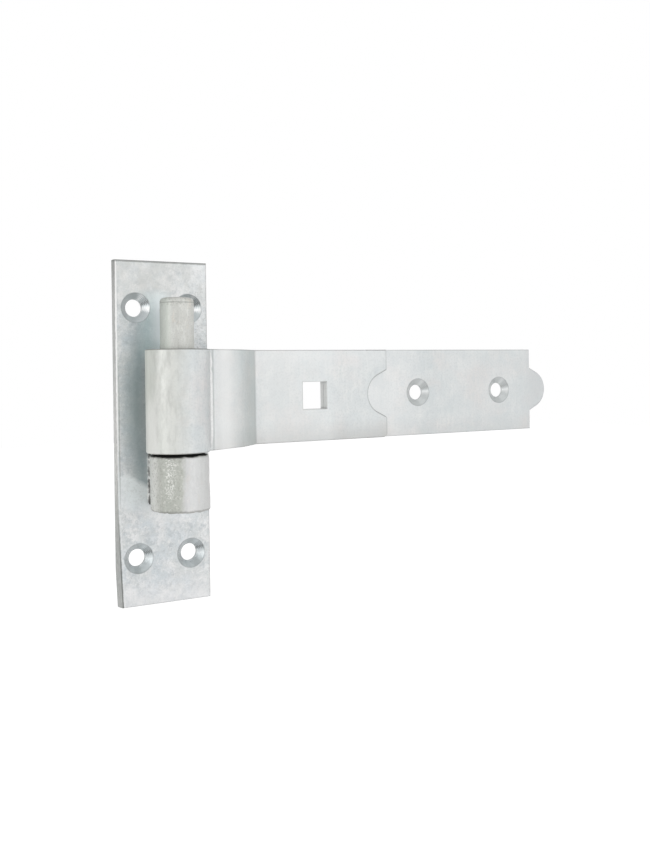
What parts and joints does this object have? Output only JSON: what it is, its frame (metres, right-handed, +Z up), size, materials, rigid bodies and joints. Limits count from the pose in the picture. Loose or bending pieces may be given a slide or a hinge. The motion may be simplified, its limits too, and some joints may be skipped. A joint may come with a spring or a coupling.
{
  "type": "hook and band hinge",
  "caption": "Gate hinge: a folded, cranked steel band with a rolled eye swings on a round pin that stands on a screw-fixed hook plate. Galvanised finish.",
  "frame": {"origin": "centre of the hook plate's back face, where it lies on the gate post", "axes": "+X along the closed strap towards its tip, +Y into the post, +Z up along the pin"},
  "size_m": [0.226, 0.0325, 0.138],
  "materials": {
    "zinc_plate": "hot-dip galvanised, pale and smooth",
    "zinc_forging": "galvanised over a grainy forged surface",
    "zinc_weld": "galvanised weld bead",
    "zinc_strip": "hot-dip galvanised, pale with faint mottling"
  },
  "bodies": {
    "hook": {"hook_plate": "zinc_plate", "hook_pin": "zinc_forging", "boss_weld": "zinc_weld"},
    "strap": {"band": "zinc_strip"}
  },
  "joints": [
    {"name": "band_swing", "type": "hinge", "parent": "hook", "child": "strap", "pos_m": [0, -0.02, 0.013], "axis": [0, 0, -1], "range_deg": [0, 180]}
  ]
}
